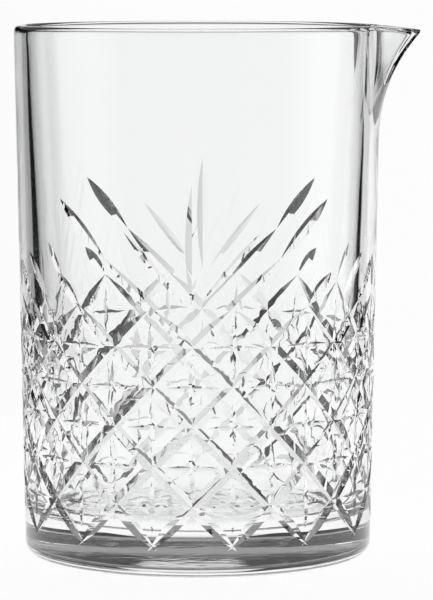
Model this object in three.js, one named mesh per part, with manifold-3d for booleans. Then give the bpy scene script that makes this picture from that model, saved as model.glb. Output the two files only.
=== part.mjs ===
// Mixing glass: a heavy beaker of clear pressed glass with a pouring lip and a cut pattern.
// Millimetres, +Z up, standing on z = 0. The pouring lip points along +X and the middle of
// the pattern's front fan along -Y. The second fan is opposite, along +Y.

import * as THREE from 'three';
import { mergeVertices } from 'three/addons/utils/BufferGeometryUtils.js';
import Module from 'manifold-3d';

// Body
const HEIGHT = 146;
const RIM_RADIUS = 50.5;          // outside, at the rim
const FOOT_RADIUS = 47.8;         // outside, where the wall's line meets the table
const HEEL_ROUND = 3.6;           // between the wall and the underside
const RIM_WALL = 3.5;             // wall thickness at the rim
const FLOOR_WALL = 7.6;           // wall thickness at the inside floor
const BASE_THICKNESS = 11.5;      // solid glass under the inside floor
const FLOOR_ROUND = 6;            // between the inside floor and the wall
const LIP_ROUND = 1.5;            // both edges of the rim

// Pouring lip, drawn out of the rim
const SPOUT_REACH = 11.4;         // outer face, beyond the rim
const SPOUT_CHANNEL_REACH = 11.9; // inner face, beyond the inside wall
const SPOUT_DEPTH = 31;           // how far down the wall it begins
const SPOUT_HALF_WIDTH = 15.5;    // along the rim, to each side of the tip
const SPOUT_DROOP = 1.2;          // the tip below the plane of the rim
const SPOUT_OUTER_CURVE = 2.1;    // how late the outer face swings out
const SPOUT_CHANNEL_CURVE = 1.9;  // how late the channel swings out
const SPOUT_FLANK_HOLLOW = 1.35;  // 1 for straight flanks, more for hollow ones
const SPOUT_TIP_BLUNTNESS = 0.14; // share of the half width that rounds the tip

// Cut pattern: a lattice of diamonds, with leaves above it. The shallow plus engraved in
// the middle of every diamond is left to the surface finish.
const DIAMONDS_AROUND = 14;
const DIAMOND_HEIGHT = 21.3;
const LATTICE_FOOT = 8.6;         // height of the lattice's lowest crossings
const LATTICE_ROWS = 3;           // whole diamonds, from the foot to the zigzag top
const GROOVE_DEPTH = 0.85;
const GROOVE_RUN_OUT = 1.3;       // the grooves go on past their lowest crossing
const GROOVE_END = 0.08;          // share of a groove in which its end fades out
const V_SLOPE = 1.9;              // half the width of a cut, over its depth
const LEAF_DEPTH = 0.9;
const FAINT_LEAF_DEPTH = 0.45;
const FAINT_LEAF_SLOPE = 2.2;     // as V_SLOPE, for the two faint leaves beside the tall one

// Fineness
const ROUND_SEGMENTS = 56;
const CORNER_SEGMENTS = 3;
const SPOUT_ROWS = 5;
const CUT_STEP = 15;              // length of one straight stretch of a cut
const CUTTER_LIFT = 1;            // out of the wall, more than the sag of one stretch
const CUT_FADE = 0.02;            // a cut's ends stay this far clear of the wall

const wasm = await Module();
wasm.setup();

// ---------------------------------------------------------------- solids

// A closed three.js geometry as a solid: corners shared, no triangle without an area.
function solid(geometry) {
  const bare = geometry.clone();
  bare.deleteAttribute('normal');
  bare.deleteAttribute('uv');
  const merged = mergeVertices(bare, 1e-4);
  const corners = merged.index.array;
  const kept = [];
  for (let i = 0; i < corners.length; i += 3) {
    const [a, b, c] = [corners[i], corners[i + 1], corners[i + 2]];
    if (a !== b && b !== c && c !== a) {
      kept.push(a, b, c);
    }
  }
  return new wasm.Manifold(new wasm.Mesh({
    numProp: 3,
    vertProperties: new Float32Array(merged.attributes.position.array),
    triVerts: new Uint32Array(kept),
  }));
}

function geometryOf(body) {
  const mesh = body.getMesh();
  const geometry = new THREE.BufferGeometry();
  geometry.setAttribute('position', new THREE.BufferAttribute(mesh.vertProperties, 3));
  geometry.setIndex(new THREE.BufferAttribute(mesh.triVerts, 1));
  geometry.computeVertexNormals();
  return geometry;
}

// ---------------------------------------------------------------- body

// The outside wall leans out a little, from the foot to the rim.
function outerRadius(height) {
  return THREE.MathUtils.lerp(FOOT_RADIUS, RIM_RADIUS, height / HEIGHT);
}

function wallThickness(height) {
  const climb = (height - BASE_THICKNESS) / (HEIGHT - BASE_THICKNESS);
  return THREE.MathUtils.lerp(FLOOR_WALL, RIM_WALL, climb);
}

function innerRadius(height) {
  return outerRadius(height) - wallThickness(height);
}

// A quarter round about a centre, from one angle to the next, as points of a profile.
function corner(radius, height, round, from, to) {
  const points = [];
  for (let i = 0; i <= CORNER_SEGMENTS; i += 1) {
    const angle = THREE.MathUtils.lerp(from, to, i / CORNER_SEGMENTS);
    const x = radius + round * Math.cos(angle);
    const y = height + round * Math.sin(angle);
    points.push(new THREE.Vector2(x, y));
  }
  return points;
}

// Heights of the rows of corners that let the wall swing out into the pouring lip.
function spoutHeights() {
  const heights = [];
  for (let i = 0; i < SPOUT_ROWS; i += 1) {
    const share = Math.sqrt(i / SPOUT_ROWS);
    heights.push(HEIGHT - LIP_ROUND - (SPOUT_DEPTH - LIP_ROUND) * (1 - share));
  }
  return heights;
}

// Half of the section through the glass, from the underside's centre round to the floor's.
function bodyProfile() {
  const quarter = Math.PI / 2;
  const rows = spoutHeights();
  const outer = rows.map((height) => new THREE.Vector2(outerRadius(height), height));
  const inner = rows.map((height) => new THREE.Vector2(innerRadius(height), height));
  const lipHeight = HEIGHT - LIP_ROUND;
  const floorRound = BASE_THICKNESS + FLOOR_ROUND;
  return [
    new THREE.Vector2(0, 0),
    ...corner(outerRadius(HEEL_ROUND) - HEEL_ROUND, HEEL_ROUND, HEEL_ROUND, -quarter, 0),
    ...outer,
    ...corner(outerRadius(lipHeight) - LIP_ROUND, lipHeight, LIP_ROUND, 0, quarter),
    ...corner(innerRadius(lipHeight) + LIP_ROUND, lipHeight, LIP_ROUND, quarter, 2 * quarter),
    ...inner.reverse(),
    ...corner(innerRadius(floorRound) - FLOOR_ROUND, floorRound, FLOOR_ROUND, 0, -quarter),
    new THREE.Vector2(0, BASE_THICKNESS),
  ];
}

// How much of the lip a place round the rim takes: 1 at the tip, 0 at its two sides,
// with a round tip and hollow flanks that run smoothly into the rim.
function spoutShare(x, y) {
  const aside = Math.atan2(Math.abs(y), x) / Math.asin(SPOUT_HALF_WIDTH / RIM_RADIUS);
  if (aside >= 1) {
    return 0;
  }
  const flank = (1 - Math.hypot(aside, SPOUT_TIP_BLUNTNESS)) / (1 - SPOUT_TIP_BLUNTNESS);
  return Math.max(0, flank) ** SPOUT_FLANK_HOLLOW;
}

// Swings the upper wall out into the pouring lip. The channel inside reaches further
// than the face outside, so the lip is thinner than the wall.
function drawSpout(geometry) {
  const place = geometry.attributes.position;
  for (let i = 0; i < place.count; i += 1) {
    const x = place.getX(i);
    const y = place.getY(i);
    const z = place.getZ(i);
    const climb = (z - (HEIGHT - SPOUT_DEPTH)) / SPOUT_DEPTH;
    const share = spoutShare(x, y);
    if (climb <= 0 || share === 0) {
      continue;
    }
    const radius = Math.hypot(x, y);
    const across = (outerRadius(z) - radius) / wallThickness(z);
    const face = SPOUT_REACH * climb ** SPOUT_OUTER_CURVE;
    const channel = SPOUT_CHANNEL_REACH * climb ** SPOUT_CHANNEL_CURVE;
    const push = share * THREE.MathUtils.lerp(face, channel, across);
    const grow = (radius + push) / radius;
    place.setXYZ(i, x * grow, y * grow, z - SPOUT_DROOP * share * climb ** 3);
  }
}

function bodySolid() {
  const geometry = new THREE.LatheGeometry(bodyProfile(), ROUND_SEGMENTS);
  geometry.rotateX(Math.PI / 2);
  drawSpout(geometry);
  return solid(geometry);
}

// ---------------------------------------------------------------- cut pattern

// The pattern is laid out on the wall in turns, diamonds round from the front towards the
// lip, and in rows, diamonds up from the lattice's foot.
function turnAngle(turns) {
  return turns * 2 * Math.PI / DIAMONDS_AROUND;
}

function rowHeight(rows) {
  return LATTICE_FOOT + rows * DIAMOND_HEIGHT;
}

// Depth along a cut, from 0 to 1, as a share of its deepest.
const leafShape = (s) => 1 - (2 * s - 1) ** 2;
const tailShape = (s) => 1 - s * s;
const grooveShape = (s) => Math.min(1, s / GROOVE_END, (1 - s) / GROOVE_END);

// A three-sided bar whose back, facing out of the glass, reaches 1 to each side of its edge.
const BAR_SIDES = 3;
const BAR_RADIUS = 1 / Math.sin(Math.PI / BAR_SIDES);
const BAR_BACK = -BAR_RADIUS * Math.cos(Math.PI / BAR_SIDES);

// The tool for one V cut: a three-sided bar, bent round the wall from one place to
// another, whose edge sinks into the glass by the depth that its shape gives.
function cutter(from, to, depth, shape, slope = V_SLOPE) {
  const start = new THREE.Vector2(turnAngle(from[0]) * outerRadius(from[1]), from[1]);
  const end = new THREE.Vector2(turnAngle(to[0]) * outerRadius(to[1]), to[1]);
  const length = start.distanceTo(end);
  const steps = 2 * Math.max(2, Math.round(length / CUT_STEP / 2));
  const across = end.clone().sub(start).rotateAround(new THREE.Vector2(), Math.PI / 2);
  across.normalize();
  const bar = new THREE.CylinderGeometry(BAR_RADIUS, BAR_RADIUS, 1, BAR_SIDES, steps);
  const place = bar.attributes.position;
  for (let i = 0; i < place.count; i += 1) {
    const s = place.getY(i) + 0.5;
    const sideways = place.getX(i);
    const sunk = (place.getZ(i) - BAR_BACK) / (BAR_RADIUS - BAR_BACK);
    const deep = depth * shape(s) - CUT_FADE;
    const half = (deep + CUTTER_LIFT) * slope * sideways;
    const height = THREE.MathUtils.lerp(start.y, end.y, s) + across.y * half;
    const turn = THREE.MathUtils.lerp(from[0], to[0], s);
    const angle = turnAngle(turn) + across.x * half / outerRadius(height);
    const radius = outerRadius(height) + CUTTER_LIFT - sunk * (deep + CUTTER_LIFT);
    place.setXYZ(i, radius * Math.sin(angle), -radius * Math.cos(angle), height);
  }
  return solid(bar);
}

// The two families of slanting grooves that cross to make the diamonds.
function latticeCutters() {
  const foot = rowHeight(0) - GROOVE_RUN_OUT;
  const extra = GROOVE_RUN_OUT / DIAMOND_HEIGHT;
  const cutters = [];
  for (let i = 0; i < DIAMONDS_AROUND; i += 1) {
    const low = i + 0.5;
    for (const lean of [1, -1]) {
      const from = [low - lean * extra, foot];
      const to = [low + lean * LATTICE_ROWS, rowHeight(LATTICE_ROWS)];
      cutters.push(cutter(from, to, GROOVE_DEPTH, grooveShape));
    }
  }
  return cutters;
}

// One fan above the lattice, as starts and ends in turns from its middle and in rows.
// Each leaf but the middle one is cut on both sides.
const TALL_LEAF = [[0, 3.02], [0, 4.53]];
const FAINT_LEAF = [[0.1, 3.05], [0.84, 3.94]];
const FAN_LEAVES = [
  [[1.1, 3.6], [1.79, 4.32]],
  [[1.5, 3.0], [1.88, 3.39]],
  [[2.5, 3.0], [3.0, 3.55]],
];
const FAN_TAIL = [[0.45, 2.95], [1.1, 3.6]];
const SIDE_LEAF = [[3.5, 3.0], [3.5, 3.5]];

function fanCutters(middle) {
  const at = ([turn, row], side) => [middle + side * turn, rowHeight(row)];
  const cut = ([from, to], side, shape, depth = LEAF_DEPTH, slope = V_SLOPE) => (
    cutter(at(from, side), at(to, side), depth, shape, slope)
  );
  const cutters = [cut(TALL_LEAF, 1, leafShape), cut(SIDE_LEAF, 1, leafShape)];
  for (const side of [1, -1]) {
    FAN_LEAVES.forEach((leaf) => cutters.push(cut(leaf, side, leafShape)));
    cutters.push(cut(FAN_TAIL, side, tailShape));
    cutters.push(cut(FAINT_LEAF, side, leafShape, FAINT_LEAF_DEPTH, FAINT_LEAF_SLOPE));
  }
  return cutters;
}

// ---------------------------------------------------------------- assembly

const cutters = [
  ...latticeCutters(),
  ...fanCutters(0),
  ...fanCutters(DIAMONDS_AROUND / 2),
];
const glass = cutters.reduce((body, tool) => body.subtract(tool), bodySolid());

const vessel = new THREE.Mesh(
  geometryOf(glass),
  new THREE.MeshStandardMaterial({
    color: 0xe8eeee,
    roughness: 0.05,
    metalness: 0,
    transparent: true,
    opacity: 0.45,
  }),
);
vessel.name = 'vessel';

const mixingGlass = new THREE.Group();
mixingGlass.add(vessel);

export default mixingGlass;
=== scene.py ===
"""Mixing glass: a heavy beaker of clear pressed glass with a pouring lip and a cut pattern.

Metres, +Z up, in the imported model's frame: the glass stands on z = 0, its pouring lip
points along +X, and the middle of the pattern's front fan faces -Y.
"""
import math

import bmesh
import bpy
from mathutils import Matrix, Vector


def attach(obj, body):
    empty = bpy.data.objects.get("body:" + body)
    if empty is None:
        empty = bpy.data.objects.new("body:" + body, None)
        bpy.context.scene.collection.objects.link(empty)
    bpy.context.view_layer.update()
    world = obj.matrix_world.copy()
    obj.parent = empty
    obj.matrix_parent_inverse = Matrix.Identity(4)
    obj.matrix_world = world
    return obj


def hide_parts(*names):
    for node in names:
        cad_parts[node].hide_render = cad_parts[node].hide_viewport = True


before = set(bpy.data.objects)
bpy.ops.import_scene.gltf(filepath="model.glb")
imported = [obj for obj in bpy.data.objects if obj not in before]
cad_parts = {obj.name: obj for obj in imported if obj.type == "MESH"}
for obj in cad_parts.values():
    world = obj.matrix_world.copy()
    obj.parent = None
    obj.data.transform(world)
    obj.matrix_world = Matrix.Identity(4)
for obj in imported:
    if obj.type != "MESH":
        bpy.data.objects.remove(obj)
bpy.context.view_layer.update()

MM = 0.001

# ---------------------------------------------------------------- sizes

# Body
HEIGHT = 146 * MM
RIM_RADIUS = 50.5 * MM
FOOT_RADIUS = 47.8 * MM
HEEL_ROUND = 3.6 * MM
RIM_WALL = 3.5 * MM
FLOOR_WALL = 7.6 * MM
BASE_THICKNESS = 11.5 * MM
FLOOR_ROUND = 6 * MM
LIP_ROUND = 1.5 * MM

# Pouring lip
SPOUT_REACH = 11.4 * MM
SPOUT_CHANNEL_REACH = 11.9 * MM
SPOUT_DEPTH = 31 * MM
SPOUT_HALF_WIDTH = 15.5 * MM
SPOUT_DROOP = 1.2 * MM
SPOUT_OUTER_CURVE = 2.1
SPOUT_CHANNEL_CURVE = 1.9
SPOUT_FLANK_HOLLOW = 1.35
SPOUT_TIP_BLUNTNESS = 0.14
SPOUT_DROOP_CURVE = 3

# Cut pattern
DIAMONDS_AROUND = 14
DIAMOND_HEIGHT = 21.3 * MM
LATTICE_FOOT = 8.6 * MM
LATTICE_ROWS = 3
GROOVE_DEPTH = 0.85 * MM
GROOVE_RUN_OUT = 1.3 * MM
GROOVE_END = 0.08
V_SLOPE = 1.9
PLUS_LENGTH = 14 * MM
UPRIGHT_DEPTH = 0.5 * MM
CROSSBAR_DEPTH = 0.42 * MM
LEAF_DEPTH = 0.9 * MM
FAINT_LEAF_DEPTH = 0.45 * MM
FAINT_LEAF_SLOPE = 2.2

# Fineness
ROUND_SEGMENTS = 224
CORNER_SEGMENTS = 10
SPOUT_ROWS = 16
SPOUT_ROW_CLOSING = 0.8  # below 1, the rows lie closer towards the rim
WALL_ROW = 12 * MM
CUT_STEP = 2 * MM
LEAST_CUT_STEPS = 6
CUTTER_LIFT = 0.6 * MM  # the cutters stand this far out of the wall
CUT_FADE = 0.01 * MM  # a cut's ends stay this far clear of the wall
SEAM_GAP = 0.01 * MM  # points of the turned body closer than this are one
SLIVER = 0.002 * MM  # edges shorter than this, left by the cuts, are closed up
SHARP_ANGLE = math.radians(18)
LAND_MATCH = 0.985  # how well a face lines up with the uncut wall, 1 for fully

# Glass: faintly uneven polish, the pressed wall's waves, and ripples inside behind the pattern
GLASS_COLOUR = (0.985, 0.99, 0.988, 1)
GLASS_INDEX = 1.52
POLISH_SCALE = 60
POLISH_DETAIL = 3
POLISH_FALL = (0.45, 0.8, 0, 0.04)  # from one level of its noise to another, and the roughness
WAVE_SCALE = 55
WAVE_HEIGHT = 0.05 * MM
RIPPLE_SCALE = 210
RIPPLE_HEIGHT = 0.1 * MM
RIPPLE_TOP = 80 * MM
RIPPLE_FADE = 15 * MM
INSIDE_RADIUS = 45 * MM
INSIDE_FADE = 0.5 * MM

# Camera
CAMERA_TURN = math.radians(1.8)
CAMERA_DISTANCE = 1010 * MM
CAMERA_HEIGHT = 169 * MM
CAMERA_AIM = Vector((5.2 * MM, 0, 70 * MM))
CAMERA_LENS = 220
CAMERA_FAR = 20

# Table
FLOOR_RADIUS = 300 * MM
FLOOR_SEGMENTS = 96
FLOOR_GAP = 0.3 * MM  # below the glass
FLOOR_COLOUR = (0.5, 0.5, 0.5, 1)
FLOOR_GLOW = 0.9

# Light: a bright window behind the glass, a lit wall to each side, dimmer light above and
# below, and darkness between. Turns are in degrees from the back towards the pouring lip,
# rises in degrees up from the horizon. Four numbers are a fall: from one turn or rise to
# another, and from one light to another. Two numbers are where an edge fades, from and to.
WINDOW_RISE = -5.5  # the middle of the window and of the walls
WINDOW_EDGE = (36.5, 39.5)
WINDOW_HALF_HEIGHT = (8, 22, 15, 4.5)  # from one turn to another, and from one rise to another
WINDOW_SOFT = 0.12  # share of its half height in which its upper and lower edges fade
WINDOW_LIGHT = 0.98
WINDOW_LEFT_FALL = (-36, -2, 0.45, 1)
WINDOW_RIGHT_FALL = (20, 37, 1, 0.93)
WINDOW_RISE_FALL = (5, 15, 1, 0.65)
RIGHT_WALL = (52, 62, 0, 1.3)
RIGHT_WALL_FALL = (95, 130, 1, 0.4)
LEFT_WALL = (-66, -55, 0.62, 0)
WALL_HALF_HEIGHT = 11
WALL_SOFT = 5
WALL_BEYOND = 0.1  # share of a wall's light above and below it
PANEL_RISE = (10, 14, 60, 70)  # a dimmer panel above the window: starts, full, full to, ends
PANEL_HALF_WIDTH = (60, 75)  # full to this turn, ends by that one
PANEL_LIGHT = 0.3
TOP_RISE = (72, 80)
TOP_LIGHT = 0.6
LOW_RISE = (-15, -11)  # light from below, far to the sides and in front
LOW_TURN = (75, 95)
STEEP_RISE = (-36, -28)  # light from below in every direction
LOW_LIGHT = 0.75
DARK_LIGHT = 0.01
BOUNCES = 24
GLOSSY_BOUNCES = 12


# ---------------------------------------------------------------- body

def mix(a, b, share):
    return a + (b - a) * share


def outer_radius(height):
    """The outside wall leans out a little, from the foot to the rim."""
    return mix(FOOT_RADIUS, RIM_RADIUS, height / HEIGHT)


def wall_thickness(height):
    """The wall thins from the inside floor to the rim."""
    climb = (height - BASE_THICKNESS) / (HEIGHT - BASE_THICKNESS)
    return mix(FLOOR_WALL, RIM_WALL, climb)


def inner_radius(height):
    return outer_radius(height) - wall_thickness(height)


def corner(radius, height, round_by, start, end):
    """A rounded corner about a centre, as points of a profile."""
    points = []
    for i in range(CORNER_SEGMENTS + 1):
        angle = math.radians(mix(start, end, i / CORNER_SEGMENTS))
        points.append((radius + round_by * math.cos(angle), height + round_by * math.sin(angle)))
    return points


def wall_heights(low):
    """Heights of the wall's rows, even below the pouring lip and closer where it swings out."""
    foot = HEIGHT - SPOUT_DEPTH
    count = round((foot - low) / WALL_ROW)
    plain = [mix(low, foot, i / count) for i in range(1, count)]
    top = HEIGHT - LIP_ROUND
    swung = [mix(foot, top, (i / SPOUT_ROWS) ** SPOUT_ROW_CLOSING) for i in range(SPOUT_ROWS)]
    return plain + swung


def body_profile():
    """Half of the section, from the underside's centre round to the inside floor's."""
    lip = HEIGHT - LIP_ROUND
    floor_top = BASE_THICKNESS + FLOOR_ROUND
    outside = [(outer_radius(z), z) for z in wall_heights(HEEL_ROUND)]
    inside = [(inner_radius(z), z) for z in reversed(wall_heights(floor_top))]
    return [
        (0, 0),
        *corner(outer_radius(HEEL_ROUND) - HEEL_ROUND, HEEL_ROUND, HEEL_ROUND, -90, 0),
        *outside,
        *corner(outer_radius(lip) - LIP_ROUND, lip, LIP_ROUND, 0, 90),
        *corner(inner_radius(lip) + LIP_ROUND, lip, LIP_ROUND, 90, 180),
        *inside,
        *corner(inner_radius(floor_top) - FLOOR_ROUND, floor_top, FLOOR_ROUND, 0, -90),
        (0, BASE_THICKNESS),
    ]


def spout_share(x, y):
    """How much of the pouring lip a place round the rim takes: 1 at the tip, 0 beside it."""
    aside = math.atan2(abs(y), x) / math.asin(SPOUT_HALF_WIDTH / RIM_RADIUS)
    flank = (1 - math.hypot(aside, SPOUT_TIP_BLUNTNESS)) / (1 - SPOUT_TIP_BLUNTNESS)
    return max(0, flank) ** SPOUT_FLANK_HOLLOW


def draw_spout(bm):
    """Swings the upper wall out into the pouring lip, its channel further than its face."""
    for vert in bm.verts:
        x, y, z = vert.co
        climb = (z - (HEIGHT - SPOUT_DEPTH)) / SPOUT_DEPTH
        share = spout_share(x, y)
        if climb <= 0 or share == 0:
            continue
        radius = math.hypot(x, y)
        across = (outer_radius(z) - radius) / wall_thickness(z)
        face = SPOUT_REACH * climb ** SPOUT_OUTER_CURVE
        channel = SPOUT_CHANNEL_REACH * climb ** SPOUT_CHANNEL_CURVE
        grow = 1 + share * mix(face, channel, across) / radius
        vert.co = (x * grow, y * grow, z - SPOUT_DROOP * share * climb ** SPOUT_DROOP_CURVE)


def mesh_object(name, bm):
    """A bmesh as an object in the scene. The bmesh is used up."""
    mesh = bpy.data.meshes.new(name)
    bm.to_mesh(mesh)
    bm.free()
    piece = bpy.data.objects.new(name, mesh)
    bpy.context.scene.collection.objects.link(piece)
    return piece


def turned_body():
    """The glass before it is cut: its section spun about the axis, then the lip drawn out."""
    bm = bmesh.new()
    verts = [bm.verts.new((r, 0, z)) for r, z in body_profile()]
    edges = [bm.edges.new(pair) for pair in zip(verts, verts[1:])]
    bmesh.ops.spin(bm, geom=verts + edges, cent=(0, 0, 0), axis=(0, 0, 1), dvec=(0, 0, 0),
                   angle=2 * math.pi, steps=ROUND_SEGMENTS, use_merge=True)
    bmesh.ops.remove_doubles(bm, verts=bm.verts, dist=SEAM_GAP)
    bmesh.ops.recalc_face_normals(bm, faces=bm.faces)
    draw_spout(bm)
    return mesh_object("glass_vessel", bm)


# ---------------------------------------------------------------- cut pattern

# The pattern is laid out on the wall in turns, diamonds round from the front towards the
# lip, and in rows, diamonds up from the lattice's foot.
def turn_angle(turns):
    return turns * 2 * math.pi / DIAMONDS_AROUND


def row_height(rows):
    return LATTICE_FOOT + rows * DIAMOND_HEIGHT


# Depth along a cut, from 0 to 1, as a share of its deepest.
def leaf_shape(s):
    return 1 - (2 * s - 1) ** 2


def tail_shape(s):
    return 1 - s * s


def groove_shape(s):
    return min(1, s / GROOVE_END, (1 - s) / GROOVE_END)


def on_wall(turns, height, lift):
    """A place out from the outside wall by a lift, in turns round and metres up."""
    radius = outer_radius(height) + lift
    angle = turn_angle(turns)
    return Vector((radius * math.sin(angle), -radius * math.cos(angle), height))


def cutter_bar(start, end, depth, shape, slope=V_SLOPE):
    """A V-edged bar bent round the wall, whose edge sinks in by what its shape gives."""
    wide = turn_angle(end[0] - start[0]) * outer_radius(mix(start[1], end[1], 0.5))
    run = Vector((wide, end[1] - start[1]))
    steps = max(LEAST_CUT_STEPS, round(run.length / CUT_STEP))
    across = Vector((run.y, -run.x)).normalized()
    bm = bmesh.new()
    bmesh.ops.create_cone(bm, cap_ends=True, segments=3, radius1=1, radius2=1, depth=1)
    half_width = max(vert.co.x for vert in bm.verts)
    back = min(vert.co.y for vert in bm.verts)
    long_edges = [edge for edge in bm.edges if edge.verts[0].co.z * edge.verts[1].co.z < 0]
    bmesh.ops.subdivide_edges(bm, edges=long_edges, cuts=steps - 1)
    for vert in bm.verts:
        s = vert.co.z + 0.5
        sunk = (vert.co.y - back) / (1 - back)
        deep = depth * shape(s) - CUT_FADE
        shift = across * (deep + CUTTER_LIFT) * slope * vert.co.x / half_width
        height = mix(start[1], end[1], s)
        turns = mix(start[0], end[0], s) + shift.x / (turn_angle(1) * outer_radius(height))
        vert.co = on_wall(turns, height + shift.y, CUTTER_LIFT - sunk * (deep + CUTTER_LIFT))
    return bm


def cutter_object(name, cuts):
    """All the bars of one set of cuts as one piece. The cuts in the glass stay apart."""
    together = bmesh.new()
    carrier = bpy.data.meshes.new(name)
    for cut in cuts:
        bm = cutter_bar(*cut)
        bm.to_mesh(carrier)
        bm.free()
        together.from_mesh(carrier)
    bpy.data.meshes.remove(carrier)
    return mesh_object(name, together)


def lattice_cuts(lean):
    """One family of slanting grooves."""
    extra = GROOVE_RUN_OUT / DIAMOND_HEIGHT
    cuts = []
    for i in range(DIAMONDS_AROUND):
        low = (i + 0.5 - lean * extra, row_height(-extra))
        high = (i + 0.5 + lean * LATTICE_ROWS, row_height(LATTICE_ROWS))
        cuts.append((low, high, GROOVE_DEPTH, groove_shape))
    return cuts


def plus_places():
    """The middles of the diamonds, as turns and heights."""
    for half_row in range(1, 2 * LATTICE_ROWS):
        shift = 0.5 * (half_row % 2)
        for i in range(DIAMONDS_AROUND):
            yield i + shift, row_height(half_row / 2)


def upright_cuts():
    """The pluses' upright strokes."""
    half = PLUS_LENGTH / 2
    return [((turn, z - half), (turn, z + half), UPRIGHT_DEPTH, leaf_shape)
            for turn, z in plus_places()]


def crossbar_cuts():
    """The pluses' level strokes."""
    cuts = []
    for turn, z in plus_places():
        half = PLUS_LENGTH / 2 / outer_radius(z) / turn_angle(1)
        cuts.append(((turn - half, z), (turn + half, z), CROSSBAR_DEPTH, leaf_shape))
    return cuts


# One fan above the lattice, in turns from its middle and rows up from the lattice's foot.
TALL_LEAF = ((0, 3.02), (0, 4.53))
FAINT_LEAF = ((0.1, 3.05), (0.84, 3.94))
FAN_LEAVES = (
    ((1.1, 3.6), (1.79, 4.32)),
    ((1.5, 3.0), (1.88, 3.39)),
    ((2.5, 3.0), (3.0, 3.55)),
)
FAN_TAIL = ((0.45, 2.95), (1.1, 3.6))
SIDE_LEAF = ((3.5, 3.0), (3.5, 3.5))
FAN_MIDDLES = (0, DIAMONDS_AROUND / 2)


def leaf_cut(leaf, middle, side, shape=leaf_shape, depth=LEAF_DEPTH, slope=V_SLOPE):
    """One leaf of the fan with its middle there, on its lip side, 1, or the other, -1."""
    low, high = [(middle + side * turn, row_height(row)) for turn, row in leaf]
    return low, high, depth, shape, slope


def upright_leaf_cuts():
    """The leaves that stand upright, in the middle of each fan and between the fans."""
    return [leaf_cut(leaf, middle, 1) for middle in FAN_MIDDLES for leaf in (TALL_LEAF, SIDE_LEAF)]


def fan_cuts(side):
    """The slanting leaves and the tails of one side of both fans."""
    cuts = []
    for middle in FAN_MIDDLES:
        cuts += [leaf_cut(leaf, middle, side) for leaf in FAN_LEAVES]
        cuts.append(leaf_cut(FAN_TAIL, middle, side, tail_shape))
        cuts.append(leaf_cut(FAINT_LEAF, middle, side, leaf_shape,
                             FAINT_LEAF_DEPTH, FAINT_LEAF_SLOPE))
    return cuts


def close_slivers(mesh):
    """Closes up faces without an area, and drops the folded pairs of faces that are left."""
    bm = bmesh.new()
    bm.from_mesh(mesh)
    bmesh.ops.triangulate(bm, faces=bm.faces[:])
    bmesh.ops.remove_doubles(bm, verts=bm.verts[:], dist=SLIVER)
    bmesh.ops.dissolve_degenerate(bm, dist=SLIVER, edges=bm.edges[:])
    bmesh.ops.triangulate(bm, faces=bm.faces[:])
    by_corners = {}
    for face in bm.faces:
        by_corners.setdefault(frozenset(face.verts), []).append(face)
    folded = [face for faces in by_corners.values() if len(faces) > 1 for face in faces]
    bmesh.ops.delete(bm, geom=folded, context="FACES")
    bm.to_mesh(mesh)
    bm.free()


def cut_away(piece, cutters):
    """Cuts each set of cutters out of the piece, and keeps only the result."""
    for cutter in cutters:
        boolean = piece.modifiers.new(cutter.name, "BOOLEAN")
        boolean.operation = "DIFFERENCE"
        boolean.solver = "MANIFOLD"
        boolean.object = cutter
    graph = bpy.context.evaluated_depsgraph_get()
    cut = bpy.data.meshes.new_from_object(piece.evaluated_get(graph))
    piece.modifiers.clear()
    close_slivers(cut)
    piece.data = cut
    for cutter in cutters:
        bpy.data.objects.remove(cutter)


def polish(piece):
    """Smooth walls and crisp cuts: the wall between the cuts keeps its true round normals."""
    mesh = piece.data
    mesh.shade_smooth()
    mesh.set_sharp_from_angle(angle=SHARP_ANGLE)
    lean = math.atan2(RIM_RADIUS - FOOT_RADIUS, HEIGHT)
    normals = [corner_normal.vector.copy() for corner_normal in mesh.corner_normals]
    top = HEIGHT - SPOUT_DEPTH
    for face in mesh.polygons:
        middle = face.center
        wall_middle = mix(inner_radius(middle.z), outer_radius(middle.z), 0.5)
        outside = math.hypot(middle.x, middle.y) > wall_middle
        if not (outside and HEEL_ROUND < middle.z < top):
            continue
        for index in face.loop_indices:
            spot = mesh.vertices[mesh.loops[index].vertex_index].co
            out = Vector((spot.x, spot.y, 0)).normalized() * math.cos(lean)
            true_normal = Vector((out.x, out.y, -math.sin(lean)))
            if face.normal.dot(true_normal) > LAND_MATCH:
                normals[index] = true_normal
    mesh.normals_split_custom_set(normals)


# ---------------------------------------------------------------- finish

def node_maths(tree):
    """Short ways to add maths nodes to a tree: each takes sockets or numbers."""
    def maths(operation, *values):
        node = tree.nodes.new("ShaderNodeMath")
        node.operation = operation
        for socket, value in zip(node.inputs, values):
            if isinstance(value, (int, float)):
                socket.default_value = value
            else:
                tree.links.new(value, socket)
        return node.outputs["Value"]

    def ramp(value, start, end, low, high, interpolation="SMOOTHSTEP"):
        node = tree.nodes.new("ShaderNodeMapRange")
        node.interpolation_type = interpolation
        tree.links.new(value, node.inputs["Value"])
        for name, number in zip(("From Min", "From Max", "To Min", "To Max"), (start, end, low, high)):
            node.inputs[name].default_value = number
        return node.outputs["Result"]
    return maths, ramp


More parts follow.
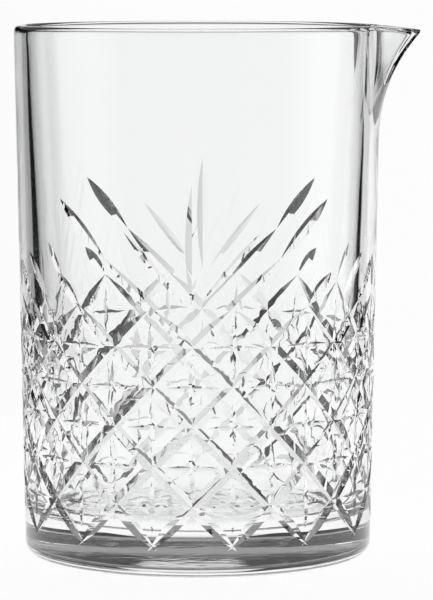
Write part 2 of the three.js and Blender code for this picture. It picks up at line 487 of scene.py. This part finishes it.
def clear_glass():
    """Clear pressed glass: its polish faintly uneven, its wall waved and rippled."""
    material = bpy.data.materials.new("clear_glass")
    material.use_nodes = True
    tree = material.node_tree
    maths, ramp = node_maths(tree)
    shader = tree.nodes["Principled BSDF"]
    shader.inputs["Base Color"].default_value = GLASS_COLOUR
    shader.inputs["IOR"].default_value = GLASS_INDEX
    shader.inputs["Transmission Weight"].default_value = 1
    place = tree.nodes.new("ShaderNodeTexCoord").outputs["Object"]

    def noise(scale, detail):
        node = tree.nodes.new("ShaderNodeTexNoise")
        node.inputs["Scale"].default_value = scale
        node.inputs["Detail"].default_value = detail
        tree.links.new(place, node.inputs["Vector"])
        return node.outputs["Fac"]

    roughness = ramp(noise(POLISH_SCALE, POLISH_DETAIL), *POLISH_FALL, interpolation="LINEAR")
    tree.links.new(roughness, shader.inputs["Roughness"])

    split = tree.nodes.new("ShaderNodeSeparateXYZ")
    tree.links.new(place, split.inputs[0])
    x, y, z = split.outputs
    radius = maths("SQRT", maths("ADD", maths("MULTIPLY", x, x), maths("MULTIPLY", y, y)))
    low_down = ramp(z, RIPPLE_TOP - RIPPLE_FADE, RIPPLE_TOP, RIPPLE_HEIGHT, 0)
    inside = ramp(radius, INSIDE_RADIUS, INSIDE_RADIUS + INSIDE_FADE, 1, 0)
    ripples = maths("MULTIPLY", noise(RIPPLE_SCALE, 1), maths("MULTIPLY", low_down, inside))
    waves = maths("MULTIPLY", noise(WAVE_SCALE, 1), WAVE_HEIGHT)
    bump = tree.nodes.new("ShaderNodeBump")
    bump.inputs["Strength"].default_value = 1
    bump.inputs["Distance"].default_value = 1
    tree.links.new(maths("ADD", waves, ripples), bump.inputs["Height"])
    tree.links.new(bump.outputs["Normal"], shader.inputs["Normal"])
    return material


# ---------------------------------------------------------------- stage

def studio_floor():
    """The round pale table that the glass stands on, lit evenly from within."""
    bm = bmesh.new()
    bmesh.ops.create_circle(bm, cap_ends=True, segments=FLOOR_SEGMENTS, radius=FLOOR_RADIUS)
    bmesh.ops.translate(bm, verts=bm.verts, vec=(0, 0, -FLOOR_GAP))
    floor = mesh_object("studio_floor", bm)
    material = bpy.data.materials.new("studio_floor")
    material.use_nodes = True
    shader = material.node_tree.nodes["Principled BSDF"]
    shader.inputs["Base Color"].default_value = FLOOR_COLOUR
    shader.inputs["Roughness"].default_value = 1
    shader.inputs["Specular IOR Level"].default_value = 0
    shader.inputs["Emission Color"].default_value = (1, 1, 1, 1)
    shader.inputs["Emission Strength"].default_value = FLOOR_GLOW
    floor.data.materials.append(material)


def studio_light():
    """The light round the glass: its strength depends on where it comes from, and no more."""
    world = bpy.data.worlds.new("studio")
    bpy.context.scene.world = world
    world.use_nodes = True
    tree = world.node_tree
    maths, ramp = node_maths(tree)
    sky = tree.nodes["Background"]
    sky.inputs["Color"].default_value = (1, 1, 1, 1)
    place = tree.nodes.new("ShaderNodeTexCoord")
    split = tree.nodes.new("ShaderNodeSeparateXYZ")
    tree.links.new(place.outputs["Generated"], split.inputs[0])
    x, y, z = split.outputs
    turn = maths("DEGREES", maths("ARCTAN2", x, y))
    rise = maths("DEGREES", maths("ARCSINE", z))
    aside = maths("ABSOLUTE", turn)
    beside = maths("ABSOLUTE", maths("SUBTRACT", rise, WINDOW_RISE))

    off = maths("DIVIDE", beside, ramp(aside, *WINDOW_HALF_HEIGHT))
    window = ramp(off, 1 - WINDOW_SOFT, 1 + WINDOW_SOFT, WINDOW_LIGHT, 0)
    window = maths("MULTIPLY", window, ramp(aside, *WINDOW_EDGE, 1, 0))
    window = maths("MULTIPLY", window, ramp(turn, *WINDOW_LEFT_FALL))
    window = maths("MULTIPLY", window, ramp(turn, *WINDOW_RIGHT_FALL))
    window = maths("MULTIPLY", window, ramp(beside, *WINDOW_RISE_FALL))

    right = maths("MULTIPLY", ramp(turn, *RIGHT_WALL), ramp(turn, *RIGHT_WALL_FALL))
    band = ramp(beside, WALL_HALF_HEIGHT - WALL_SOFT, WALL_HALF_HEIGHT + WALL_SOFT, 1, WALL_BEYOND)
    left = ramp(turn, *LEFT_WALL)
    walls = maths("MULTIPLY", maths("MAXIMUM", left, right), band)

    starts, full, full_to, ends = PANEL_RISE
    panel = ramp(rise, starts, full, 0, PANEL_LIGHT)
    panel = maths("MULTIPLY", panel, ramp(rise, full_to, ends, 1, 0))
    panel = maths("MULTIPLY", panel, ramp(aside, *PANEL_HALF_WIDTH, 1, 0))
    above = maths("MAXIMUM", panel, ramp(rise, *TOP_RISE, 0, TOP_LIGHT))

    low = maths("MULTIPLY", ramp(rise, *LOW_RISE, LOW_LIGHT, 0), ramp(aside, *LOW_TURN, 0, 1))
    low = maths("MAXIMUM", low, ramp(rise, *STEEP_RISE, LOW_LIGHT, DARK_LIGHT))

    level = maths("MAXIMUM", maths("MAXIMUM", window, walls), maths("MAXIMUM", above, low))
    tree.links.new(level, sky.inputs["Strength"])


def studio_camera():
    """A long lens in front, a little above the rim, looking slightly down."""
    camera = bpy.data.objects.new("camera", bpy.data.cameras.new("camera"))
    bpy.context.scene.collection.objects.link(camera)
    camera.data.lens = CAMERA_LENS
    camera.data.clip_end = CAMERA_FAR
    camera.location = (CAMERA_DISTANCE * math.sin(CAMERA_TURN),
                       -CAMERA_DISTANCE * math.cos(CAMERA_TURN), CAMERA_HEIGHT)
    look = CAMERA_AIM - camera.location
    camera.rotation_euler = look.to_track_quat("-Z", "Y").to_euler()
    bpy.context.scene.camera = camera


# ---------------------------------------------------------------- assembly

vessel = turned_body()
cut_away(vessel, [
    cutter_object("grooves_left", lattice_cuts(-1)),
    cutter_object("grooves_right", lattice_cuts(1)),
    cutter_object("uprights", upright_cuts() + upright_leaf_cuts()),
    cutter_object("crossbars", crossbar_cuts()),
    cutter_object("fans_left", fan_cuts(-1)),
    cutter_object("fans_right", fan_cuts(1)),
])
polish(vessel)
vessel.data.materials.clear()
vessel.data.materials.append(clear_glass())
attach(vessel, "root")
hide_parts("vessel")

studio_floor()
studio_light()
studio_camera()

bpy.context.scene.view_settings.view_transform = "Standard"
cycles = bpy.context.scene.cycles
cycles.max_bounces = BOUNCES
cycles.transmission_bounces = BOUNCES
cycles.glossy_bounces = GLOSSY_BOUNCES
